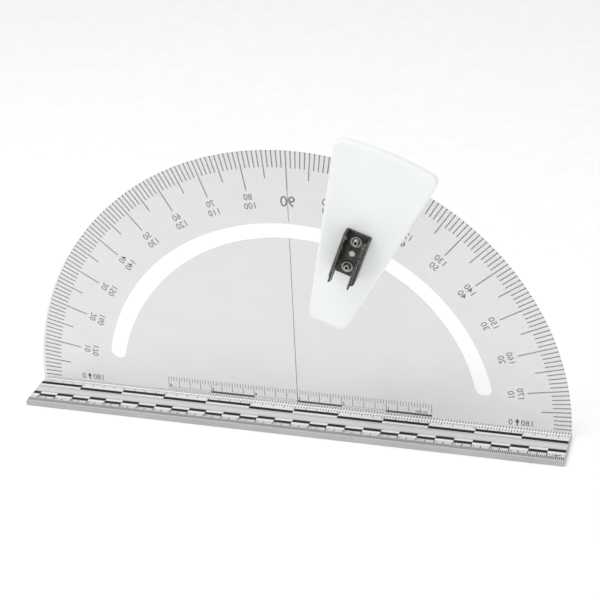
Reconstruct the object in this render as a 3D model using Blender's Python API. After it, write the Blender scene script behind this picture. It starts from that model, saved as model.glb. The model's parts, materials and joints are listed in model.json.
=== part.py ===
"""Standing protractor with a sliding rod clip, modelled in metres with +Z up.

A half-disc protractor stands upright on a flat ruler. A white slider block runs along a
concentric arc slot in the plate and carries a sprung steel clip for a straight rod.
The front face of the plate is the plane Y = 0, and the ruler lies on the plane Z = 0.
"""
import math

import bmesh
import bpy
from mathutils import Vector

MM = 0.001
GAP = 0.3 * MM

# Ruler and plate
RULER_LENGTH = 304.8 * MM
RULER_FRONT = -26.2 * MM
RULER_THICKNESS = 3.0 * MM
PLATE_RADIUS = 152.4 * MM
PLATE_THICKNESS = 3.0 * MM
CENTRE_HEIGHT = 1.9 * MM
SLOT_RADIUS = 107.3 * MM
SLOT_HALF_WIDTH = 4.8 * MM
SLOT_END_ANGLE = math.radians(12.6)

# Slider: a sector of 20 degrees, drawn about the vertical and turned to its rest angle
REST_ANGLE = math.radians(20.0)
BLOCK_HALF_ANGLE = math.radians(10.0)
BLOCK_INNER_RADIUS = 61.5 * MM
BLOCK_OUTER_RADIUS = 167.3 * MM
BLOCK_FRONT = -6.5 * MM
BLOCK_BACK = -0.4 * MM
BLOCK_CORNER = 5.0 * MM
BLOCK_ROUNDING = 1.9 * MM
SHOE_HALF_ANGLE = math.radians(1.9)
SHOE_BACK = 3.9 * MM
PAD_THICKNESS = 0.6 * MM
PAD_INNER_RADIUS = 96.0 * MM
PAD_OUTER_RADIUS = 120.4 * MM
PAD_HALF_ANGLE = math.radians(7.0)
RETAINER_THICKNESS = 2.2 * MM
RETAINER_INNER_RADIUS = 93.0 * MM
RETAINER_OUTER_RADIUS = 123.4 * MM
RETAINER_HALF_ANGLE = math.radians(8.2)

# Rod clip: a bent strip with inward jaws and short flared lips
CLIP_RADIUS = 108.1 * MM
CLIP_LENGTH = 25.8 * MM
CLIP_HALF_WIDTH = 7.1 * MM
CLIP_SHEET = 1.0 * MM
CLIP_SHOULDER = 8.4 * MM
CLIP_WAIST = 11.5 * MM
CLIP_WAIST_INSET = 1.9 * MM
CLIP_HEIGHT = 14.9 * MM
CLIP_LIP_INSET = 1.2 * MM
CLIP_BEND = 0.9 * MM
CLIP_HOLE_RADIUS = 1.7 * MM
BOSS_PROUD = 0.2 * MM
DIMPLE_RADIUS = 0.5 * MM
DIMPLE_DEPTH = 0.4 * MM
SLIT_WIDTH = 0.9 * MM
SLIT_OFFSET = 6.4 * MM

# Fasteners
SCREW_SPACING = 15.4 * MM
SCREW_RADIUS = 1.2 * MM
HEAD_RADIUS = 2.1 * MM
HEAD_HEIGHT = 1.4 * MM
SOCKET_ACROSS_FLATS = 1.8 * MM
SOCKET_DEPTH = 1.0 * MM
WASHER_RADIUS = 3.0 * MM
WASHER_THICKNESS = 0.5 * MM
NUT_ACROSS_FLATS = 5.0 * MM
NUT_THICKNESS = 2.0 * MM
SHOE_SCREW_OFFSET = 3.0 * MM
SHOE_SCREW_RADIUS = 1.2 * MM
SHOE_HEAD_RADIUS = 2.3 * MM
SHOE_SCREW_TIP = -3.6 * MM

ARC_STEP = math.radians(2.0)
ROUND_SEGMENTS = 24


def remove_scene_objects():
    for item in list(bpy.data.objects):
        bpy.data.objects.remove(item, do_unlink=True)


def make_material(name, colour, roughness, metallic=0.0, alpha=1.0):
    material = bpy.data.materials.new(name)
    material.use_nodes = True
    shader = material.node_tree.nodes["Principled BSDF"]
    shader.inputs["Base Color"].default_value = (*colour, 1.0)
    shader.inputs["Roughness"].default_value = roughness
    shader.inputs["Metallic"].default_value = metallic
    shader.inputs["Alpha"].default_value = alpha
    return material


def add_object(name, mesh, material, parent=None):
    item = bpy.data.objects.new(name, mesh)
    bpy.context.scene.collection.objects.link(item)
    item.parent = parent
    if material:
        mesh.materials.append(material)
    return item


def finish_mesh(name, shape):
    bmesh.ops.recalc_face_normals(shape, faces=shape.faces)
    mesh = bpy.data.meshes.new(name)
    shape.to_mesh(mesh)
    shape.free()
    mesh.shade_smooth()
    mesh.set_sharp_from_angle(angle=math.radians(35.0))
    return mesh


def prism_mesh(name, outline, start, end, place):
    """Extrude a closed 2D outline from start to end; place(a, b, depth) gives the 3D point."""
    shape = bmesh.new()
    near = [shape.verts.new(place(a, b, start)) for a, b in outline]
    far = [shape.verts.new(place(a, b, end)) for a, b in outline]
    shape.faces.new(near)
    shape.faces.new(far)
    for index in range(len(outline)):
        following = (index + 1) % len(outline)
        shape.faces.new((near[index], near[following], far[following], far[index]))
    return finish_mesh(name, shape)


def upright(a, b, depth):
    """Outline in X and Z, extruded along Y."""
    return (a, depth, b)


def along_radius(a, b, depth):
    """Outline in X and Y, extruded along Z."""
    return (a, b, depth)


def turned_mesh(name, profile, centre):
    """Turn (radius, y) points about a line through centre along Y; a zero radius is a pole."""
    shape = bmesh.new()
    rings = []
    for radius, y in profile:
        if radius == 0.0:
            rings.append([shape.verts.new((centre[0], y, centre[1]))])
            continue
        ring = []
        for step in range(ROUND_SEGMENTS):
            turn = math.tau * step / ROUND_SEGMENTS
            place = (centre[0] + radius * math.cos(turn), y, centre[1] + radius * math.sin(turn))
            ring.append(shape.verts.new(place))
        rings.append(ring)
    for first, second in zip(rings, rings[1:] + rings[:1]):
        join_rings(shape, first, second)
    return finish_mesh(name, shape)


def join_rings(shape, first, second):
    for step in range(ROUND_SEGMENTS):
        following = (step + 1) % ROUND_SEGMENTS
        corners = []
        for ring, index in ((first, step), (first, following), (second, following), (second, step)):
            vertex = ring[index] if len(ring) > 1 else ring[0]
            if vertex not in corners:
                corners.append(vertex)
        if len(corners) > 2:
            shape.faces.new(corners)


def cut(target, name, mesh):
    """Subtract a mesh from target with a hidden cutter that shares target's parent."""
    cutter = add_object(name, mesh, None, target.parent)
    cutter.hide_render = True
    cutter.display_type = "WIRE"
    boolean = target.modifiers.new(name, "BOOLEAN")
    boolean.operation = "DIFFERENCE"
    boolean.solver = "EXACT"
    boolean.object = cutter


def fuse(target, name, mesh):
    """Join a mesh to target with a hidden tool that shares target's parent."""
    cut(target, name, mesh)
    target.modifiers[name].operation = "UNION"


def circle(radius, centre=(0.0, 0.0), segments=ROUND_SEGMENTS, turn=0.0):
    points = []
    for step in range(segments):
        angle = turn + math.tau * step / segments
        points.append((centre[0] + radius * math.cos(angle), centre[1] + radius * math.sin(angle)))
    return points


def hexagon(across_flats, centre):
    return circle(across_flats / 2.0 / math.cos(math.pi / 6.0), centre, 6)


def arc(radius, start, end, step=ARC_STEP, centre=(0.0, 0.0)):
    """Points on an arc; angles run from +Z towards +X."""
    count = max(2, math.ceil(abs(end - start) / step))
    points = []
    for index in range(count + 1):
        angle = start + (end - start) * index / count
        points.append((centre[0] + radius * math.sin(angle), centre[1] + radius * math.cos(angle)))
    return points


def fillet(points, radius, closed, steps=5):
    """Round each corner of a polyline with an arc of the given radius."""
    corners = [Vector(point) for point in points]
    count = len(corners)
    rounded = []
    for index, corner in enumerate(corners):
        if not closed and index in (0, count - 1):
            rounded.append(tuple(corner))
            continue
        before = (corners[index - 1] - corner).normalized()
        after = (corners[(index + 1) % count] - corner).normalized()
        half_angle = before.angle(after) / 2.0
        bisector = (before + after).normalized()
        middle = corner + bisector * radius / math.sin(half_angle)
        first = corner + before * radius / math.tan(half_angle) - middle
        last = corner + after * radius / math.tan(half_angle) - middle
        sweep = first.angle_signed(last)
        for step in range(steps + 1):
            angle = -sweep * step / steps
            turned = Vector((first.x * math.cos(angle) - first.y * math.sin(angle),
                             first.x * math.sin(angle) + first.y * math.cos(angle)))
            rounded.append(tuple(middle + turned))
    return rounded


def sector(inner, outer, half_angle, corner, step):
    """A ring sector about +Z with its four corners rounded by short arcs."""
    lean = math.asin(corner / (outer - corner))
    foot = math.asin(corner / (inner + corner))
    points = arc(outer, -half_angle + lean, half_angle - lean, step)
    points += corner_arc(outer - corner, half_angle - lean, corner, (0.0, math.pi / 2.0 + lean))
    points += corner_arc(inner + corner, half_angle - foot, corner, (math.pi / 2.0 + foot, math.pi))
    points += arc(inner, half_angle - foot, -half_angle + foot, step)
    points += corner_arc(inner + corner, -half_angle + foot, corner, (math.pi, 1.5 * math.pi - foot))
    points += corner_arc(outer - corner, -half_angle + lean, corner, (1.5 * math.pi - lean, math.tau))
    return remove_repeats(points)


def corner_arc(radius, angle, corner, turns):
    """An arc about a corner's centre, with its turns counted from the radius through it."""
    centre = (radius * math.sin(angle), radius * math.cos(angle))
    return arc(corner, angle + turns[0], angle + turns[1], math.radians(18.0), centre)


def remove_repeats(points):
    kept = []
    for point in points:
        if not kept or (Vector(point) - Vector(kept[-1])).length > 1e-6:
            kept.append(point)
    if (Vector(kept[0]) - Vector(kept[-1])).length < 1e-6:
        kept.pop()
    return kept


def arc_slot(radius, half_width, start, end):
    """A concentric slot outline with round ends."""
    points = arc(radius + half_width, start, end)
    centre = (radius * math.sin(end), radius * math.cos(end))
    points += arc(half_width, end, end + math.pi, math.radians(15.0), centre)
    points += arc(radius - half_width, end, start)
    centre = (radius * math.sin(start), radius * math.cos(start))
    points += arc(half_width, start + math.pi, start + math.tau, math.radians(15.0), centre)
    return remove_repeats(points)


def build_ruler():
    material = make_material("ruler_plastic", (0.78, 0.79, 0.79), 0.35)
    half = RULER_LENGTH / 2.0
    outline = [(-half, 0.0), (half, 0.0), (half, RULER_THICKNESS), (-half, RULER_THICKNESS)]
    mesh = prism_mesh("base_ruler", outline, RULER_FRONT, PLATE_THICKNESS, upright)
    ruler = add_object("base_ruler", mesh, material)
    bevel = ruler.modifiers.new("edge_break", "BEVEL")
    bevel.width = 0.3 * MM
    bevel.segments = 2


def build_plate():
    """A half-disc that stands on the ruler, with the slot cut through it."""
    material = make_material("plate_acrylic", (0.86, 0.87, 0.87), 0.2, 0.0, 0.75)
    bottom = RULER_THICKNESS + GAP - CENTRE_HEIGHT
    reach = math.acos(bottom / PLATE_RADIUS)
    outline = [(x, z + CENTRE_HEIGHT) for x, z in arc(PLATE_RADIUS, -reach, reach)]
    mesh = prism_mesh("protractor_plate", outline, 0.0, PLATE_THICKNESS, upright)
    plate = add_object("protractor_plate", mesh, material)
    sweep = math.pi / 2.0 - SLOT_END_ANGLE
    slot = arc_slot(SLOT_RADIUS, SLOT_HALF_WIDTH, -sweep, sweep)
    slot = [(x, z + CENTRE_HEIGHT) for x, z in slot]
    cut(plate, "slot_cutter", prism_mesh("slot_cutter", slot, -MM, PLATE_THICKNESS + MM, upright))


def build_block(pivot):
    material = make_material("block_plastic", (0.9, 0.92, 0.915), 0.3)
    outline = sector(BLOCK_INNER_RADIUS, BLOCK_OUTER_RADIUS, BLOCK_HALF_ANGLE, BLOCK_CORNER, ARC_STEP)
    mesh = prism_mesh("slider_block", outline, BLOCK_FRONT, BLOCK_BACK, upright)
    block = add_object("slider_block", mesh, material, pivot)
    bevel = block.modifiers.new("soft_edges", "BEVEL")
    bevel.width = BLOCK_ROUNDING
    bevel.segments = 4
    bevel.limit_method = "ANGLE"
    bevel.angle_limit = math.radians(60.0)
    for name, offset in (("upper", SCREW_SPACING / 2.0), ("lower", -SCREW_SPACING / 2.0)):
        centre = (0.0, CLIP_RADIUS + offset)
        hole = circle(SCREW_RADIUS + GAP, centre)
        cut(block, f"{name}_hole", prism_mesh("hole", hole, BLOCK_FRONT - MM, MM, upright))
        pocket = hexagon(NUT_ACROSS_FLATS + 2.0 * GAP, centre)
        floor = BLOCK_BACK - NUT_THICKNESS - 2.0 * GAP
        cut(block, f"{name}_pocket", prism_mesh("pocket", pocket, floor, MM, upright))
    for name, side in (("left", -1.0), ("right", 1.0)):
        pilot = circle(SHOE_SCREW_RADIUS + GAP, (side * SHOE_SCREW_OFFSET, SLOT_RADIUS))
        cut(block, f"{name}_pilot", prism_mesh("pilot", pilot, SHOE_SCREW_TIP - GAP, MM, upright))
    build_locating_boss(block)


def build_locating_boss(block):
    """A boss with a dimpled end that stands in the clip's centre hole and locates it."""
    end = clip_floor()[1] - BOSS_PROUD
    boss = circle(CLIP_HOLE_RADIUS - GAP, (0.0, CLIP_RADIUS))
    fuse(block, "locating_boss", prism_mesh("boss", boss, end, BLOCK_FRONT + MM, upright))
    dimple = turned_mesh("dimple", [(0.0, end + DIMPLE_DEPTH), (DIMPLE_RADIUS, end - GAP),
                                    (0.0, end - GAP)], (0.0, CLIP_RADIUS))
    cut(block, "boss_dimple", dimple)


def cut_shoe_holes(target, front, back):
    for name, side in (("left", -1.0), ("right", 1.0)):
        hole = circle(SHOE_SCREW_RADIUS + GAP, (side * SHOE_SCREW_OFFSET, SLOT_RADIUS))
        cut(target, f"{target.name}_{name}_hole", prism_mesh("hole", hole, front, back, upright))


def build_shoe(pivot):
    """The tongue that runs in the slot and keeps the block square to the radius."""
    material = make_material("shoe_nylon", (0.75, 0.76, 0.74), 0.45)
    outline = arc_slot(SLOT_RADIUS, SLOT_HALF_WIDTH - GAP, -SHOE_HALF_ANGLE, SHOE_HALF_ANGLE)
    mesh = prism_mesh("guide_shoe", outline, BLOCK_BACK + GAP, SHOE_BACK, upright)
    shoe = add_object("guide_shoe", mesh, material, pivot)
    cut_shoe_holes(shoe, BLOCK_BACK - MM, SHOE_BACK + MM)


def build_pad(pivot):
    """A thin felt frame between the plate and the retainer; its drag holds the angle."""
    material = make_material("pad_felt", (0.2, 0.2, 0.21), 0.95)
    outline = sector(PAD_INNER_RADIUS, PAD_OUTER_RADIUS, PAD_HALF_ANGLE, 2.0 * MM, ARC_STEP)
    front = PLATE_THICKNESS + GAP
    mesh = prism_mesh("friction_pad", outline, front, front + PAD_THICKNESS, upright)
    pad = add_object("friction_pad", mesh, material, pivot)
    window = arc_slot(SLOT_RADIUS, SLOT_HALF_WIDTH, -SHOE_HALF_ANGLE, SHOE_HALF_ANGLE)
    cut(pad, "pad_window", prism_mesh("window", window, front - MM, front + 2.0 * MM, upright))


def retainer_faces():
    front = PLATE_THICKNESS + 2.0 * GAP + PAD_THICKNESS
    return front, front + RETAINER_THICKNESS


def build_retainer(pivot):
    material = make_material("retainer_plastic", (0.88, 0.9, 0.895), 0.35)
    front, back = retainer_faces()
    outline = sector(RETAINER_INNER_RADIUS, RETAINER_OUTER_RADIUS, RETAINER_HALF_ANGLE, 3.0 * MM, ARC_STEP)
    mesh = prism_mesh("retaining_plate", outline, front, back, upright)
    retainer = add_object("retaining_plate", mesh, material, pivot)
    bevel = retainer.modifiers.new("soft_edges", "BEVEL")
    bevel.width = 0.6 * MM
    bevel.segments = 2
    bevel.limit_method = "ANGLE"
    bevel.angle_limit = math.radians(60.0)
    cut_shoe_holes(retainer, front - MM, back + MM)


def clip_floor():
    """Y of the clip floor's back and front faces."""
    back = BLOCK_FRONT - GAP
    return back, back - CLIP_SHEET


def clip_outline():
    """Closed outline of the bent strip in X and Y, open towards -Y."""
    back = clip_floor()[0]
    middle = CLIP_HALF_WIDTH - CLIP_SHEET / 2.0
    side = [(middle - CLIP_LIP_INSET, CLIP_HEIGHT),
            (middle - CLIP_WAIST_INSET, CLIP_WAIST),
            (middle, CLIP_SHOULDER),
            (middle, CLIP_SHEET / 2.0)]
    strip = [(-x, back - height) for x, height in side]
    strip += [(x, back - height) for x, height in reversed(side)]
    centreline = [Vector(point) for point in fillet(strip, CLIP_BEND, False)]
    one_side = []
    other_side = []
    for index, point in enumerate(centreline):
        before = centreline[max(index - 1, 0)]
        after = centreline[min(index + 1, len(centreline) - 1)]
        tangent = (after - before).normalized()
        normal = Vector((-tangent.y, tangent.x)) * CLIP_SHEET / 2.0
        one_side.append(tuple(point + normal))
        other_side.append(tuple(point - normal))
    return one_side + other_side[::-1]


def build_clip(pivot):
    material = make_material("clip_steel", (0.12, 0.115, 0.105), 0.38, 0.9)
    start = CLIP_RADIUS - CLIP_LENGTH / 2.0
    mesh = prism_mesh("rod_clip", clip_outline(), start, start + CLIP_LENGTH, along_radius)
    clip = add_object("rod_clip", mesh, material, pivot)
    back, front = clip_floor()
    holes = (("upper", SCREW_SPACING / 2.0, SCREW_RADIUS + GAP),
             ("centre", 0.0, CLIP_HOLE_RADIUS),
             ("lower", -SCREW_SPACING / 2.0, SCREW_RADIUS + GAP))
    for name, offset, radius in holes:
        hole = circle(radius, (0.0, CLIP_RADIUS + offset))
        cut(clip, f"clip_{name}_hole", prism_mesh("hole", hole, front - MM, back + MM, upright))
    middle = start + CLIP_LENGTH - SLIT_OFFSET
    slit = [(3.0 * MM, middle - SLIT_WIDTH / 2.0), (10.0 * MM, middle - SLIT_WIDTH / 2.0),
            (10.0 * MM, middle + SLIT_WIDTH / 2.0), (3.0 * MM, middle + SLIT_WIDTH / 2.0)]
    top = back - CLIP_HEIGHT - MM
    cut(clip, "jaw_slit", prism_mesh("slit", slit, top, back - CLIP_SHOULDER, upright))


def build_clip_fasteners(pivot, name, offset):
    """Socket screw, washer and captive nut that hold one end of the clip."""
    centre = (0.0, CLIP_RADIUS + offset)
    steel = make_material(f"{name}_screw_steel", (0.2, 0.19, 0.18), 0.35, 0.95)
    washer_front = clip_floor()[1] - GAP - WASHER_THICKNESS
    seat = washer_front - GAP
    top = seat - HEAD_HEIGHT
    tip = BLOCK_BACK - GAP
    profile = [(0.0, top), (HEAD_RADIUS * 0.68, top), (HEAD_RADIUS * 0.92, top + 0.35 * HEAD_HEIGHT),
               (HEAD_RADIUS, top + 0.7 * HEAD_HEIGHT), (HEAD_RADIUS, seat), (SCREW_RADIUS, seat),
               (SCREW_RADIUS, tip - 0.4 * MM), (SCREW_RADIUS - 0.4 * MM, tip), (0.0, tip)]
    screw = add_object(f"clip_screw_{name}", turned_mesh("screw", profile, centre), steel, pivot)
    socket = hexagon(SOCKET_ACROSS_FLATS, centre)
    cut(screw, f"{name}_socket", prism_mesh("socket", socket, top - MM, top + SOCKET_DEPTH, upright))
    washer_steel = make_material(f"{name}_washer_steel", (0.3, 0.29, 0.28), 0.4, 0.95)
    bore = SCREW_RADIUS + GAP
    washer_back = washer_front + WASHER_THICKNESS
    ring = [(WASHER_RADIUS, washer_front), (WASHER_RADIUS, washer_back),
            (bore, washer_back), (bore, washer_front)]
    add_object(f"clip_washer_{name}", turned_mesh("washer", ring, centre), washer_steel, pivot)
    nut_steel = make_material(f"{name}_nut_steel", (0.6, 0.6, 0.6), 0.35, 0.95)
    nut_back = BLOCK_BACK - GAP
    outline = hexagon(NUT_ACROSS_FLATS, centre)
    mesh = prism_mesh("nut", outline, nut_back - NUT_THICKNESS, nut_back, upright)
    nut = add_object(f"clip_nut_{name}", mesh, nut_steel, pivot)
    hole = circle(bore, centre)
    cut(nut, f"{name}_nut_bore", prism_mesh("bore", hole, nut_back - 2.0 * NUT_THICKNESS, MM, upright))


def build_shoe_screw(pivot, name, side):
    """Pan-head screw through the retainer and the shoe into the block."""
    centre = (side * SHOE_SCREW_OFFSET, SLOT_RADIUS)
    steel = make_material(f"shoe_screw_{name}_steel", (0.55, 0.55, 0.55), 0.35, 0.95)
    seat = retainer_faces()[1] + GAP
    top = seat + 1.5 * MM
    profile = [(0.0, SHOE_SCREW_TIP), (0.5 * MM, SHOE_SCREW_TIP), (SHOE_SCREW_RADIUS, SHOE_SCREW_TIP + MM),
               (SHOE_SCREW_RADIUS, seat), (SHOE_HEAD_RADIUS, seat), (SHOE_HEAD_RADIUS, seat + 0.6 * MM),
               (SHOE_HEAD_RADIUS * 0.85, seat + 1.2 * MM), (SHOE_HEAD_RADIUS * 0.6, top), (0.0, top)]
    screw = add_object(f"shoe_screw_{name}", turned_mesh("screw", profile, centre), steel, pivot)
    for turn, arms in (("a", (1.3 * MM, 0.3 * MM)), ("b", (0.3 * MM, 1.3 * MM))):
        wide, tall = arms
        bar = [(centre[0] - wide, centre[1] - tall), (centre[0] + wide, centre[1] - tall),
               (centre[0] + wide, centre[1] + tall), (centre[0] - wide, centre[1] + tall)]
        cut(screw, f"{name}_recess_{turn}", prism_mesh("recess", bar, top - 0.8 * MM, top + MM, upright))


def make_pivot():
    """Empty at the scale's centre, on the axis that the slider turns about."""
    pivot = bpy.data.objects.new("slider_pivot", None)
    bpy.context.scene.collection.objects.link(pivot)
    pivot.location = (0.0, 0.0, CENTRE_HEIGHT)
    pivot.rotation_euler = (0.0, REST_ANGLE, 0.0)
    return pivot


def main():
    remove_scene_objects()
    build_ruler()
    build_plate()
    pivot = make_pivot()
    build_block(pivot)
    build_shoe(pivot)
    build_pad(pivot)
    build_retainer(pivot)
    build_clip(pivot)
    build_clip_fasteners(pivot, "upper", SCREW_SPACING / 2.0)
    build_clip_fasteners(pivot, "lower", -SCREW_SPACING / 2.0)
    build_shoe_screw(pivot, "left", -1.0)
    build_shoe_screw(pivot, "right", 1.0)
    bpy.context.view_layer.update()


main()
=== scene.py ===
"""Looks for the standing protractor with its sliding rod clip.

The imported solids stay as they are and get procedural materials. Every printed mark is a
thin piece of ink that rides on the stand or on the slider. The scales follow a few rules,
so all of them are worked out by loops.
"""
import json
import math

import bmesh
import bpy
from mathutils import Matrix, Vector


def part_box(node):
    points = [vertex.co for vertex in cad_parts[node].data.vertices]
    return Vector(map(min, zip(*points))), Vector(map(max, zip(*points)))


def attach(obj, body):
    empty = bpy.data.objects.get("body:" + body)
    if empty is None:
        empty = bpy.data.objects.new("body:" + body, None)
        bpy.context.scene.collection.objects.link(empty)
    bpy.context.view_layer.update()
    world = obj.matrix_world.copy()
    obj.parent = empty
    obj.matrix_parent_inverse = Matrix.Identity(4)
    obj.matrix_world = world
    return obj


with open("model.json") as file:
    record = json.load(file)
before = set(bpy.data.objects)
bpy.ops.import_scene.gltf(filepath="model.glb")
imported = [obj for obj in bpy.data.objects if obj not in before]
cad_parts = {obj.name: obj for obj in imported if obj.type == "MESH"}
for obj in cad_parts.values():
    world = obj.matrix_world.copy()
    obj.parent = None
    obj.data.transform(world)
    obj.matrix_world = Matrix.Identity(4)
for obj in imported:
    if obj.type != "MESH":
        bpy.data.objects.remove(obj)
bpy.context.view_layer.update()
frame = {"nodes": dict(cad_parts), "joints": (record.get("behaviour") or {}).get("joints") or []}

MM = 0.001
INCH = 25.4 * MM
INK = 0.02 * MM
LIFT = 0.01 * MM

JOINT = frame["joints"][0]
SCALE_CENTRE = JOINT["pos_m"][2]
REST_ANGLE = math.radians(20.0)
PLATE_LOW, PLATE_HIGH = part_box("protractor_plate")
RULER_LOW, RULER_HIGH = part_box("base_ruler")
PLATE_BACK = PLATE_HIGH[1]
RULER_TOP = RULER_HIGH[2]
RULER_HALF = RULER_HIGH[0]

# Degree scale: radii from the scale's centre
RIM_EDGE = 152.1 * MM
RIM_DOT_LENGTH = 0.5 * MM
RIM_DOT_WIDTH = 0.8 * MM
DEGREE_TICKS = {1: 142.6 * MM, 5: 136.5 * MM, 10: 130.2 * MM}
TICK_WIDTH = 0.66 * MM
OUTER_LABELS = 126.4 * MM
INNER_LABELS = 121.3 * MM
LABEL_HEIGHT = 3.5 * MM
CENTRE_LABEL = 123.6 * MM
CENTRE_LABEL_HEIGHT = 6.0 * MM
SLOT_INNER = 102.5 * MM
SLOT_OUTER = 112.1 * MM
CENTRE_LINE_HALF_WIDTH = 0.2 * MM
CENTRE_LINE_CLEARANCE = 0.1 * MM

# Zero marks: a 0, an arrow and a 180 at each end of the plate's foot
ZERO_MARK_DISTANCE = 124.0 * MM
ZERO_MARK_LEVEL = 3.9 * MM
ZERO_DIGIT_HEIGHT = 3.4 * MM
ZERO_SHIFT = 4.6 * MM
STRAIGHT_ANGLE_SHIFT = -4.2 * MM
ARROW_SHIFT = 1.0 * MM
ARROW_OUTLINE_MM = ((-0.35, -1.9), (0.35, -1.9), (0.35, -0.4), (1.1, 0.7),
                    (0.0, 2.3), (-1.1, 0.7), (-0.35, -0.4))

# Six-inch scale on the plate: heights above the ruler's underside
PLATE_SCALE_INCHES = 6
PLATE_SCALE_TOP = 11.3 * MM
PLATE_TICK_DROPS = {1: 2.7 * MM, 4: 6.2 * MM, 16: 7.9 * MM}
PLATE_TICK_HALF_WIDTH = 0.16 * MM
PLATE_BAR_LOW = 3.5 * MM
PLATE_BAR_HIGH = 4.8 * MM
PLATE_BAR_OUTLINE = 0.2 * MM
PLATE_NUMBER_SHIFT = 1.2 * MM
PLATE_NUMBER_HEIGHT = 2.0 * MM
PLATE_TEXT_CLEARANCE = 1.1 * MM
PLATE_UNIT_PLACE = -70.5 * MM
PLATE_UNIT_HEIGHT = 1.4 * MM

# Ruler print, on its top face: Y of each band, bar, line and tick, and the text's sizes
PRINT_HALF = RULER_HALF - 0.5 * MM
SECOND_PRINT_LIFT = 2.0 * INK + LIFT
WHITE_BANDS = ((-8.0 * MM, PLATE_BACK - 0.2 * MM), (-19.25 * MM, -14.97 * MM))
PALE_BANDS = ((-14.9 * MM, -8.1 * MM), (-25.6 * MM, -19.35 * MM))
RULER_INCHES = 12
RULER_CENTIMETRES = 31
RULER_MILLIMETRES = 304
CENTIMETRE = 10.0 * MM
INCH_BAR_ROWS = (-4.72 * MM, -6.91 * MM)
CM_BAR_ROWS = (-16.02 * MM, -18.2 * MM)
BAR_HEIGHT = 2.5 * MM
HAIRLINES = (-8.2 * MM, -9.3 * MM, -14.3 * MM)
HAIRLINE_HALF_WIDTH = 0.06 * MM
SIXTEENTHS = 16
INCH_TICK_WIDTH = 0.6 * MM
INCH_TICK_START = -0.15 * MM
INCH_TICK_ENDS = {1: -1.9 * MM, 4: -3.5 * MM}
INCH_NUMBER_ROW = -2.8 * MM
INCH_NUMBER_SHIFT = -1.1 * MM
INCH_NUMBER_HEIGHT = 1.2 * MM
INCH_UNIT_INSET = 4.0 * MM
CM_UNIT_INSET = 5.0 * MM
UNIT_HEIGHT = 1.0 * MM

# Centimetre scale: distances forward of the plate's front face
CM_TICK_STARTS = {1: 22.0 * MM, 5: 20.0 * MM, 10: 19.4 * MM}
CM_TICK_END = 24.9 * MM
CM_TICK_WIDTH = 0.48 * MM
CM_NUMBER_ROW = 20.7 * MM
CM_NUMBER_SHIFT = -1.3 * MM
CM_NUMBER_HEIGHT = 1.2 * MM

# Seam between plate and ruler, a stack of thin white layers that carry painted light, with ticks over
# it
SEAM_LIFT = 0.04 * MM
SEAM_LAYERS = 7
SEAM_PITCH = 1.5 * INK
SEAM_END_MARGIN = 0.5 * MM
SEAM_INSET = 0.1 * MM
SEAM_TAPER = 0.02 * MM
# Strength of the painted light on the seam's white cement
CEMENT_PAINTED_LIGHT = 0.35
FOOT_TICK_LIFT = 0.26 * MM
FOOT_TICK_BACK = PLATE_BACK - 0.4 * MM
FOOT_TICK_FRONT = 0.3 * MM
FOOT_TICK_MARGIN = 1.0 * MM

# Painted shade: dark hexagons in the clip screws' sockets
SOCKET_SHADE_DEPTH = 0.3 * MM
SOCKET_SHADE_RADIUS = 0.98 * MM

# Gloss of the black ink, painted light on the block standing in for light spread inside its milky
# plastic, the floor's even self-light, and the floor's place and half size
BLACK_INK_GLOSS = 0.2
BLOCK_PAINTED_LIGHT = 0.15
FLOOR_GLOW = 0.16
FLOOR_CLEARANCE = 0.02 * MM
FLOOR_SIZE = 6.0

# Text: meshes by word, the built-in font's rough digit height, and added stroke weight
GLYPHS = {}
DIGIT_HEIGHT = 0.7
GLYPH_WEIGHT = 0.008


# ---------------------------------------------------------------- materials

def new_material(name):
    material = bpy.data.materials.new(name)
    material.use_nodes = True
    nodes = material.node_tree.nodes
    shader = nodes["Principled BSDF"]
    return material, nodes, material.node_tree.links, shader


def noise_node(nodes, links, scale, detail=4.0, stretch=(1.0, 1.0, 1.0)):
    place = nodes.new("ShaderNodeTexCoord")
    mapping = nodes.new("ShaderNodeMapping")
    mapping.inputs["Scale"].default_value = stretch
    noise = nodes.new("ShaderNodeTexNoise")
    noise.inputs["Scale"].default_value = scale
    noise.inputs["Detail"].default_value = detail
    links.new(place.outputs["Object"], mapping.inputs["Vector"])
    links.new(mapping.outputs["Vector"], noise.inputs["Vector"])
    return noise


def ramp(nodes, links, source, low, high, start=0.35, end=0.65):
    blend = nodes.new("ShaderNodeValToRGB")
    blend.color_ramp.elements[0].position = start
    blend.color_ramp.elements[1].position = end
    blend.color_ramp.elements[0].color = (*low, 1.0)
    blend.color_ramp.elements[1].color = (*high, 1.0)
    links.new(source, blend.inputs["Fac"])
    return blend.outputs["Color"]


def spread(nodes, links, source, low, high):
    """Map a 0..1 texture to a range of values."""
    span = nodes.new("ShaderNodeMapRange")
    span.inputs["To Min"].default_value = low
    span.inputs["To Max"].default_value = high
    links.new(source, span.inputs["Value"])
    return span.outputs["Result"]


def add_bump(nodes, links, shader, source, strength, distance):
    bump = nodes.new("ShaderNodeBump")
    bump.inputs["Strength"].default_value = strength
    bump.inputs["Distance"].default_value = distance
    links.new(source, bump.inputs["Height"])
    links.new(bump.outputs["Normal"], shader.inputs["Normal"])


def plastic(name, low, high, roughness, grain=900.0, bump=0.06, **sockets):
    """Moulded or sheet plastic: cloudy tone, fine grain and uneven gloss."""
    material, nodes, links, shader = new_material(name)
    cloud = noise_node(nodes, links, scale=28.0, detail=5.0)
    fine = noise_node(nodes, links, scale=grain, detail=3.0)
    links.new(ramp(nodes, links, cloud.outputs["Fac"], low, high), shader.inputs["Base Color"])
    links.new(spread(nodes, links, cloud.outputs["Fac"], *roughness), shader.inputs["Roughness"])
    add_bump(nodes, links, shader, fine.outputs["Fac"], strength=bump, distance=0.1 * MM)
    for socket, value in sockets.items():
        shader.inputs[socket.replace("_", " ")].default_value = value
    return material


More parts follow.
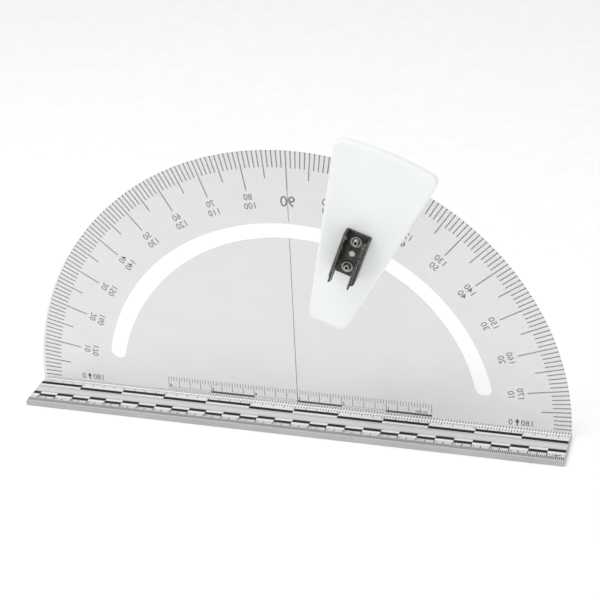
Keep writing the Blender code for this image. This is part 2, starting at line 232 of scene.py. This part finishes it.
def blackened_steel(name, low, high, worn, wear_start, roughness=(0.28, 0.5)):
    """Black oxide with fine scuffs, rubbed back to grey on its edges."""
    material, nodes, links, shader = new_material(name)
    shader.inputs["Metallic"].default_value = 0.85
    blotch = noise_node(nodes, links, scale=240.0, detail=6.0)
    scuffs = noise_node(nodes, links, scale=700.0, detail=4.0, stretch=(1.0, 1.0, 0.25))
    base = ramp(nodes, links, blotch.outputs["Fac"], low, high, start=0.3, end=0.7)
    geometry = nodes.new("ShaderNodeNewGeometry")
    bevel = nodes.new("ShaderNodeBevel")
    bevel.samples = 4
    bevel.inputs["Radius"].default_value = 0.25 * MM
    bend = nodes.new("ShaderNodeVectorMath")
    bend.operation = "DOT_PRODUCT"
    links.new(geometry.outputs["Normal"], bend.inputs[0])
    links.new(bevel.outputs["Normal"], bend.inputs[1])
    edge = nodes.new("ShaderNodeMapRange")
    edge.inputs["From Min"].default_value = 1.0
    edge.inputs["From Max"].default_value = wear_start
    links.new(bend.outputs["Value"], edge.inputs["Value"])
    mix = nodes.new("ShaderNodeMix")
    mix.data_type = "RGBA"
    mix.inputs["B"].default_value = (*worn, 1.0)
    links.new(edge.outputs["Result"], mix.inputs["Factor"])
    links.new(base, mix.inputs["A"])
    links.new(mix.outputs["Result"], shader.inputs["Base Color"])
    links.new(spread(nodes, links, scuffs.outputs["Fac"], *roughness), shader.inputs["Roughness"])
    add_bump(nodes, links, shader, scuffs.outputs["Fac"], strength=0.15, distance=0.05 * MM)
    return material


def plated_steel(name):
    material, nodes, links, shader = new_material(name)
    shader.inputs["Metallic"].default_value = 1.0
    turned = noise_node(nodes, links, scale=900.0, detail=3.0, stretch=(1.0, 4.0, 1.0))
    tone = ramp(nodes, links, turned.outputs["Fac"], (0.5, 0.5, 0.49), (0.68, 0.68, 0.66))
    links.new(tone, shader.inputs["Base Color"])
    links.new(spread(nodes, links, turned.outputs["Fac"], 0.25, 0.42), shader.inputs["Roughness"])
    add_bump(nodes, links, shader, turned.outputs["Fac"], strength=0.1, distance=0.05 * MM)
    return material


def felt(name):
    material, nodes, links, shader = new_material(name)
    fibre = noise_node(nodes, links, scale=1500.0, detail=8.0)
    tone = ramp(nodes, links, fibre.outputs["Fac"], (0.06, 0.06, 0.065), (0.16, 0.16, 0.17))
    links.new(tone, shader.inputs["Base Color"])
    shader.inputs["Roughness"].default_value = 0.95
    shader.inputs["Sheen Weight"].default_value = 0.4
    add_bump(nodes, links, shader, fibre.outputs["Fac"], strength=0.6, distance=0.3 * MM)
    return material


def ink(name, low, high, gloss=0.5, painted_light=0.0):
    """Screen-printed ink: slightly uneven cover and a faint tooth; any emission given here is painted
    light.
    """
    material, nodes, links, shader = new_material(name)
    shader.inputs["Specular IOR Level"].default_value = gloss
    shader.inputs["Emission Color"].default_value = (1.0, 1.0, 1.0, 1.0)
    shader.inputs["Emission Strength"].default_value = painted_light
    cover = noise_node(nodes, links, scale=1200.0, detail=4.0)
    links.new(ramp(nodes, links, cover.outputs["Fac"], low, high), shader.inputs["Base Color"])
    links.new(spread(nodes, links, cover.outputs["Fac"], 0.35, 0.55), shader.inputs["Roughness"])
    add_bump(nodes, links, shader, cover.outputs["Fac"], strength=0.1, distance=0.02 * MM)
    return material


# ---------------------------------------------------------------- printed pieces

class Print:
    """Collects thin closed marks on one flat face and turns them into one piece."""

    def __init__(self, name, origin, across, up, material, body, slot, lift=LIFT):
        self.name = name
        self.across = Vector(across)
        self.up = Vector(up)
        self.out = self.across.cross(self.up)
        self.origin = Vector(origin) + self.out * lift
        self.material = material
        self.body = body
        self.slot = slot
        self.shape = bmesh.new()

    def point(self, a, b, height):
        return self.origin + self.across * a + self.up * b + self.out * height

    def polygon(self, outline):
        base = [self.shape.verts.new(self.point(a, b, 0.0)) for a, b in outline]
        top = [self.shape.verts.new(self.point(a, b, INK)) for a, b in outline]
        self.shape.faces.new(top)
        self.shape.faces.new(base[::-1])
        for index in range(len(outline)):
            following = (index + 1) % len(outline)
            self.shape.faces.new((base[index], base[following], top[following], top[index]))

    def bar(self, a0, b0, a1, b1):
        self.polygon([(a0, b0), (a1, b0), (a1, b1), (a0, b1)])

    def line(self, start, end, width):
        run = Vector(end) - Vector(start)
        side = Vector((-run.y, run.x)).normalized() * width / 2.0
        first = Vector(start)
        last = Vector(end)
        self.polygon([tuple(first - side), tuple(last - side), tuple(last + side), tuple(first + side)])

    def text(self, words, a, b, height, turn=0.0):
        """Centre a word on (a, b), with its digits about as tall as height."""
        glyphs = glyph_mesh(words)
        scale = height / DIGIT_HEIGHT
        place = Matrix.Translation((a, b, 0.0)) @ Matrix.Rotation(turn, 4, "Z")
        place = place @ Matrix.Diagonal((scale, scale, INK, 1.0))
        basis = Matrix((self.across, self.up, self.out)).transposed().to_4x4()
        basis.translation = self.origin
        copy = glyphs.copy()
        copy.transform(basis @ place)
        self.shape.from_mesh(copy)
        bpy.data.meshes.remove(copy)

    def build(self):
        bmesh.ops.recalc_face_normals(self.shape, faces=self.shape.faces)
        mesh = bpy.data.meshes.new(self.name)
        self.shape.to_mesh(mesh)
        self.shape.free()
        mesh.materials.append(self.material)
        piece = bpy.data.objects.new(self.name, mesh)
        bpy.context.scene.collection.objects.link(piece)
        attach(piece, self.body)
        return piece


def glyph_mesh(words):
    """A closed text mesh, one unit thick, centred on its own middle."""
    if words not in GLYPHS:
        curve = bpy.data.curves.new("glyph", "FONT")
        curve.body = words
        curve.extrude = 0.5
        curve.resolution_u = 3
        curve.offset = GLYPH_WEIGHT
        holder = bpy.data.objects.new("glyph", curve)
        bpy.context.scene.collection.objects.link(holder)
        graph = bpy.context.evaluated_depsgraph_get()
        mesh = bpy.data.meshes.new_from_object(holder.evaluated_get(graph))
        bpy.data.objects.remove(holder, do_unlink=True)
        shape = bmesh.new()
        shape.from_mesh(mesh)
        bmesh.ops.remove_doubles(shape, verts=shape.verts, dist=1e-5)
        xs = [vertex.co.x for vertex in shape.verts]
        ys = [vertex.co.y for vertex in shape.verts]
        middle = Vector(((min(xs) + max(xs)) / 2.0, (min(ys) + max(ys)) / 2.0, -0.5))
        bmesh.ops.translate(shape, verts=shape.verts, vec=-middle)
        shape.to_mesh(mesh)
        shape.free()
        GLYPHS[words] = mesh
    return GLYPHS[words]


def plate_print(name, material):
    """A print on the plate's back face, read from behind, centred on the scale's centre."""
    return Print(name, (0.0, PLATE_BACK, SCALE_CENTRE), (-1.0, 0.0, 0.0), (0.0, 0.0, 1.0),
                 material, "stand", "plate_acrylic")


def ruler_print(name, material, lift=LIFT, upside_down=False):
    turn = -1.0 if upside_down else 1.0
    return Print(name, (0.0, 0.0, RULER_TOP), (turn, 0.0, 0.0), (0.0, turn, 0.0),
                 material, "stand", "ruler_plastic", lift)


def polar(radius, degrees):
    """A point on the protractor as read from behind; 0 degrees is at the reader's right."""
    angle = math.radians(degrees)
    return radius * math.cos(angle), radius * math.sin(angle)


def tick_step(count, steps):
    """The largest of the given steps that divides count."""
    return max(step for step in steps if count % step == 0)


def build_degree_ticks(material):
    marks = plate_print("degree_ticks", material)
    lowest = PLATE_LOW[2] - SCALE_CENTRE + TICK_WIDTH / 2.0
    for degree in range(1, 180):
        start = polar(DEGREE_TICKS[tick_step(degree, DEGREE_TICKS)], degree)
        end = polar(RIM_EDGE, degree)
        if min(start[1], end[1]) > lowest:
            marks.line(start, end, TICK_WIDTH)
    marks.build()


def build_rim_dots(material):
    """The outer ends of the ticks show as small dark dots at the sawn rim."""
    marks = plate_print("rim_dots", material)
    for degree in range(1, 180):
        marks.line(polar(RIM_EDGE - RIM_DOT_LENGTH, degree), polar(RIM_EDGE, degree), RIM_DOT_WIDTH)
    marks.build()


def build_degree_labels(material):
    marks = plate_print("degree_labels", material)
    for degree in range(10, 180, 10):
        if degree == 90:
            continue
        turn = math.radians(degree - 90)
        marks.text(str(degree), *polar(OUTER_LABELS, degree), LABEL_HEIGHT, turn)
        marks.text(str(180 - degree), *polar(INNER_LABELS, degree), LABEL_HEIGHT, turn)
    marks.build()


def build_centre_label(material):
    marks = plate_print("centre_label", material)
    marks.text("90", *polar(CENTRE_LABEL, 90), CENTRE_LABEL_HEIGHT)
    marks.build()


def build_zero_labels(soft, dark):
    """0 and 180 with an arrow between them, at both ends of the plate's foot."""
    numbers = plate_print("zero_labels", soft)
    arrows = plate_print("zero_arrows", dark)
    level = ZERO_MARK_LEVEL
    for side in (-1.0, 1.0):
        middle = side * ZERO_MARK_DISTANCE
        shaft = middle + ARROW_SHIFT
        numbers.text("0", middle + ZERO_SHIFT, level, ZERO_DIGIT_HEIGHT)
        numbers.text("180", middle + STRAIGHT_ANGLE_SHIFT, level, ZERO_DIGIT_HEIGHT)
        arrows.polygon([(shaft + a * MM, level + b * MM) for a, b in ARROW_OUTLINE_MM])
    numbers.build()
    arrows.build()


def build_centre_line(material):
    """The 90 degree line, broken where it crosses the slot."""
    marks = plate_print("centre_line", material)
    half = CENTRE_LINE_HALF_WIDTH
    foot = PLATE_LOW[2] - SCALE_CENTRE
    marks.bar(-half, foot, half, SLOT_INNER - CENTRE_LINE_CLEARANCE)
    marks.bar(-half, SLOT_OUTER + CENTRE_LINE_CLEARANCE, half, DEGREE_TICKS[10])
    marks.build()


def build_plate_scale(light, dark):
    """The six-inch scale low on the plate, with its alternate solid and outlined bars."""
    ticks = plate_print("plate_scale_ticks", light)
    bars = plate_print("plate_scale_bars", dark)
    top = PLATE_SCALE_TOP - SCALE_CENTRE
    low = PLATE_BAR_LOW - SCALE_CENTRE
    high = PLATE_BAR_HIGH - SCALE_CENTRE
    half_inches = PLATE_SCALE_INCHES / 2
    for step in range(PLATE_SCALE_INCHES * SIXTEENTHS + 1):
        a = (step / SIXTEENTHS - half_inches) * INCH
        drop = PLATE_TICK_DROPS[tick_step(step, PLATE_TICK_DROPS)]
        ticks.bar(a - PLATE_TICK_HALF_WIDTH, top - drop, a + PLATE_TICK_HALF_WIDTH, top)
    text_row = high + PLATE_TEXT_CLEARANCE
    for inch in range(PLATE_SCALE_INCHES):
        left = (inch - half_inches) * INCH
        right = left + INCH
        if inch % 2 == 0:
            bars.bar(left, low, right, high)
        else:
            ticks.bar(left, low, right, low + PLATE_BAR_OUTLINE)
            ticks.bar(left, high - PLATE_BAR_OUTLINE, right, high)
        bars.text(str(inch + 1), right - PLATE_NUMBER_SHIFT, text_row, PLATE_NUMBER_HEIGHT)
    bars.text("INCHES", PLATE_UNIT_PLACE, text_row, PLATE_UNIT_HEIGHT)
    ticks.build()
    bars.build()


def build_ruler_bands(name, material, bands):
    """Plain ground of the ruler's print, under its ticks and bars."""
    ground = ruler_print(name, material)
    for front, back in bands:
        ground.bar(-PRINT_HALF, front, PRINT_HALF, back)
    ground.build()


def build_ruler_bars(material):
    """Two alternating rows of inch bars, two of centimetre bars, and the hairlines between."""
    bars = ruler_print("ruler_bars", material, SECOND_PRINT_LIFT)
    half = BAR_HEIGHT / 2.0
    for inch in range(RULER_INCHES):
        left = max(inch * INCH - RULER_HALF, -PRINT_HALF)
        right = min((inch + 1) * INCH - RULER_HALF, PRINT_HALF)
        middle = INCH_BAR_ROWS[inch % 2]
        bars.bar(left, middle - half, right, middle + half)
    for centimetre in range(RULER_CENTIMETRES):
        right = min(RULER_HALF - centimetre * CENTIMETRE, PRINT_HALF)
        left = max(RULER_HALF - (centimetre + 1) * CENTIMETRE, -PRINT_HALF)
        middle = CM_BAR_ROWS[centimetre % 2]
        bars.bar(left, middle - half, right, middle + half)
    for row in HAIRLINES:
        bars.bar(-PRINT_HALF, row - HAIRLINE_HALF_WIDTH, PRINT_HALF, row + HAIRLINE_HALF_WIDTH)
    bars.build()


def build_inch_scale(light, dark):
    marks = ruler_print("ruler_inch_scale", light, SECOND_PRINT_LIFT)
    words = ruler_print("ruler_inch_numbers", dark, SECOND_PRINT_LIFT)
    for step in range(1, RULER_INCHES * SIXTEENTHS):
        x = step * INCH / SIXTEENTHS - RULER_HALF
        end = INCH_TICK_ENDS[tick_step(step, INCH_TICK_ENDS)]
        marks.line((x, INCH_TICK_START), (x, end), INCH_TICK_WIDTH)
    for inch in range(1, RULER_INCHES):
        x = inch * INCH - RULER_HALF + INCH_NUMBER_SHIFT
        words.text(str(inch), x, INCH_NUMBER_ROW, INCH_NUMBER_HEIGHT)
    words.text("INCH", INCH_UNIT_INSET - RULER_HALF, INCH_NUMBER_ROW, UNIT_HEIGHT)
    marks.build()
    words.build()


def build_foot_ticks(material):
    """The inch ticks carry on under the plate's foot, almost to the ruler's back edge."""
    marks = ruler_print("ruler_foot_ticks", material, FOOT_TICK_LIFT)
    for step in range(1, RULER_INCHES * SIXTEENTHS):
        x = step * INCH / SIXTEENTHS - RULER_HALF
        if abs(x) < PLATE_HIGH[0] - FOOT_TICK_MARGIN:
            marks.line((x, FOOT_TICK_BACK), (x, FOOT_TICK_FRONT), INCH_TICK_WIDTH)
    marks.build()


def build_centimetre_scale(material):
    """Millimetre ticks along the front edge; their numbers face the ruler's other side."""
    marks = ruler_print("ruler_cm_scale", material, SECOND_PRINT_LIFT, True)
    for step in range(1, RULER_MILLIMETRES + 1):
        a = step * MM - RULER_HALF
        start = CM_TICK_STARTS[tick_step(step, CM_TICK_STARTS)]
        marks.line((a, start), (a, CM_TICK_END), CM_TICK_WIDTH)
    for centimetre in range(1, RULER_CENTIMETRES):
        a = centimetre * CENTIMETRE - RULER_HALF + CM_NUMBER_SHIFT
        marks.text(str(centimetre), a, CM_NUMBER_ROW, CM_NUMBER_HEIGHT)
    marks.text("METRIC", CM_UNIT_INSET - RULER_HALF, CM_NUMBER_ROW, UNIT_HEIGHT)
    marks.build()


def build_socket_shade(end, material):
    """A dark hexagon of painted shade, set a little way into the mouth of a clip screw's socket."""
    low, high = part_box(f"clip_screw_{end}")
    centre = ((low[0] + high[0]) / 2.0, low[1] + SOCKET_SHADE_DEPTH, (low[2] + high[2]) / 2.0)
    shade = Print(f"socket_shade_{end}", centre, (1.0, 0.0, 0.0), (0.0, 0.0, 1.0),
                  material, "slider", "screw_steel", 0.0)
    points = []
    for corner in range(6):
        angle = math.radians(60.0 * corner) - REST_ANGLE
        points.append((SOCKET_SHADE_RADIUS * math.cos(angle), SOCKET_SHADE_RADIUS * math.sin(angle)))
    shade.polygon(points)
    shade.build()


def build_bond_line(material):
    """The thin seam of adhesive between the plate's foot and the ruler, white and self-lit with painted
    light that brightens the seam.
    """
    seam = Print("bond_line", (0.0, 0.0, RULER_TOP), (1.0, 0.0, 0.0), (0.0, 1.0, 0.0),
                 material, "stand", "plate_acrylic", SEAM_LIFT)
    half = PLATE_HIGH[0] - SEAM_END_MARGIN
    for layer in range(SEAM_LAYERS):
        inset = SEAM_INSET + SEAM_TAPER * layer
        seam.bar(-half, inset, half, PLATE_BACK - inset)
        seam.origin.z += SEAM_PITCH
    seam.build()


# ---------------------------------------------------------------- stage, light and camera

def build_floor():
    floor_material, nodes, links, shader = new_material("studio_floor")
    paper = noise_node(nodes, links, scale=60.0, detail=3.0)
    tone = ramp(nodes, links, paper.outputs["Fac"], (0.93, 0.93, 0.93), (0.96, 0.96, 0.96))
    links.new(tone, shader.inputs["Base Color"])
    shader.inputs["Roughness"].default_value = 0.9
    shader.inputs["Emission Color"].default_value = (1.0, 1.0, 1.0, 1.0)
    shader.inputs["Emission Strength"].default_value = FLOOR_GLOW
    add_bump(nodes, links, shader, paper.outputs["Fac"], strength=0.02, distance=0.1 * MM)
    shape = bmesh.new()
    bmesh.ops.create_grid(shape, x_segments=8, y_segments=8, size=FLOOR_SIZE)
    mesh = bpy.data.meshes.new("floor")
    shape.to_mesh(mesh)
    shape.free()
    mesh.materials.append(floor_material)
    floor = bpy.data.objects.new("floor", mesh)
    floor.location = (0.0, 0.0, RULER_LOW[2] - FLOOR_CLEARANCE)
    bpy.context.scene.collection.objects.link(floor)


def add_area_light(name, place, target, size, power):
    light = bpy.data.lights.new(name, "AREA")
    light.shape = "RECTANGLE"
    light.size = size[0]
    light.size_y = size[1]
    light.energy = power
    lamp = bpy.data.objects.new(name, light)
    lamp.location = place
    aim = Vector(target) - Vector(place)
    lamp.rotation_euler = aim.to_track_quat("-Z", "Y").to_euler()
    bpy.context.scene.collection.objects.link(lamp)


def build_light():
    world = bpy.data.worlds.new("studio")
    bpy.context.scene.world = world
    world.use_nodes = True
    background = world.node_tree.nodes["Background"]
    background.inputs["Color"].default_value = (1.0, 1.0, 1.0, 1.0)
    background.inputs["Strength"].default_value = 0.6
    add_area_light("key_softbox", place=(-0.35, -0.3, 1.4), target=(0.0, 0.0, 0.05),
                   size=(0.8, 0.8), power=8.5)
    add_area_light("front_fill", place=(0.7, -1.2, 0.5), target=(0.0, 0.0, 0.08),
                   size=(0.8, 0.6), power=1.5)
    bpy.context.scene.view_settings.view_transform = "Standard"


def build_camera():
    """A long lens, a little above and to the right, with a slight roll."""
    azimuth = math.radians(17.3)
    elevation = math.radians(26.93)
    roll = math.radians(-2.78)
    place = Vector((235.34, -739.05, 462.81)) * MM
    back = Vector((math.sin(azimuth) * math.cos(elevation), -math.cos(azimuth) * math.cos(elevation),
                   math.sin(elevation)))
    level = Vector((math.cos(azimuth), math.sin(azimuth), 0.0))
    head = back.cross(level)
    right = level * math.cos(roll) + head * math.sin(roll)
    up = head * math.cos(roll) - level * math.sin(roll)
    camera = bpy.data.objects.new("camera", bpy.data.cameras.new("camera"))
    turn = Matrix((right, up, back)).transposed().to_4x4()
    camera.matrix_world = Matrix.Translation(place) @ turn
    camera.data.lens = 96.96
    camera.data.sensor_width = 36.0
    camera.data.clip_start = 0.05
    bpy.context.scene.collection.objects.link(camera)
    bpy.context.scene.camera = camera


def dress(node, material):
    """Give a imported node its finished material."""
    piece = frame["nodes"][node]
    for slot in piece.material_slots:
        slot.material = material


def dress_nodes():
    dress("base_ruler", plastic("ruler_aluminium_grey", (0.44, 0.44, 0.44), (0.5, 0.5, 0.5),
                                roughness=(0.35, 0.5)))
    dress("protractor_plate", plastic("translucent_acrylic", (0.33, 0.33, 0.33), (0.37, 0.37, 0.37),
                                      roughness=(0.3, 0.42), grain=500.0, bump=0.03, Alpha=0.2))
    # Emission on the block is painted light, standing in for light spread inside the milky plastic.
    dress("slider_block", plastic("milky_block", (0.75, 0.775, 0.77), (0.78, 0.805, 0.8),
                                  roughness=(0.3, 0.42), Emission_Color=(0.97, 1.0, 0.99, 1.0),
                                  Emission_Strength=BLOCK_PAINTED_LIGHT))
    dress("guide_shoe", plastic("shoe_nylon", (0.62, 0.63, 0.6), (0.7, 0.71, 0.68),
                                roughness=(0.4, 0.55)))
    dress("retaining_plate", plastic("retainer_white", (0.84, 0.87, 0.86), (0.9, 0.92, 0.91),
                                     roughness=(0.32, 0.45)))
    dress("friction_pad", felt("grey_felt"))
    dress("rod_clip", blackened_steel("black_oxide_clip", (0.035, 0.032, 0.028), (0.085, 0.08, 0.072),
                                      worn=(0.62, 0.6, 0.58), wear_start=0.88, roughness=(0.22, 0.4)))
    screws = blackened_steel("rubbed_screw_steel", (0.34, 0.33, 0.31), (0.48, 0.465, 0.44),
                             worn=(0.8, 0.78, 0.76), wear_start=0.85, roughness=(0.2, 0.4))
    washers = blackened_steel("rubbed_washer_steel", (0.3, 0.29, 0.275), (0.42, 0.41, 0.39),
                              worn=(0.75, 0.73, 0.7), wear_start=0.85)
    for end in ("upper", "lower"):
        dress(f"clip_screw_{end}", screws)
        dress(f"clip_washer_{end}", washers)
        dress(f"clip_nut_{end}", plated_steel(f"nut_plating_{end}"))
    for side in ("left", "right"):
        dress(f"shoe_screw_{side}", plated_steel(f"screw_plating_{side}"))


def print_scales():
    grey = ink("grey_scale_ink", (0.32, 0.32, 0.32), (0.4, 0.4, 0.4))
    soft = ink("soft_label_ink", (0.2, 0.2, 0.2), (0.27, 0.27, 0.27))
    black = ink("black_ink", (0.014, 0.012, 0.012), (0.026, 0.022, 0.022), BLACK_INK_GLOSS)
    white = ink("white_ink", (0.86, 0.86, 0.86), (0.92, 0.92, 0.92))
    # Emission on the foot cement is painted light that brightens the seam under the plate's foot.
    cement = ink("foot_cement", (0.86, 0.86, 0.86), (0.92, 0.92, 0.92), painted_light=CEMENT_PAINTED_LIGHT)
    pale = ink("pale_ground_ink", (0.69, 0.69, 0.69), (0.75, 0.75, 0.75))
    build_degree_ticks(grey)
    build_rim_dots(black)
    build_degree_labels(soft)
    build_centre_label(soft)
    build_zero_labels(soft, black)
    build_centre_line(grey)
    build_plate_scale(soft, black)
    build_ruler_bands("ruler_white_bands", white, WHITE_BANDS)
    build_ruler_bands("ruler_pale_bands", pale, PALE_BANDS)
    build_ruler_bars(black)
    build_inch_scale(grey, soft)
    build_foot_ticks(grey)
    build_centimetre_scale(black)
    build_bond_line(cement)
    # Black ink hexagons as painted shade in the clip screws' sockets
    for end in ("upper", "lower"):
        build_socket_shade(end, black)


dress_nodes()
print_scales()
build_floor()
build_light()
build_camera()
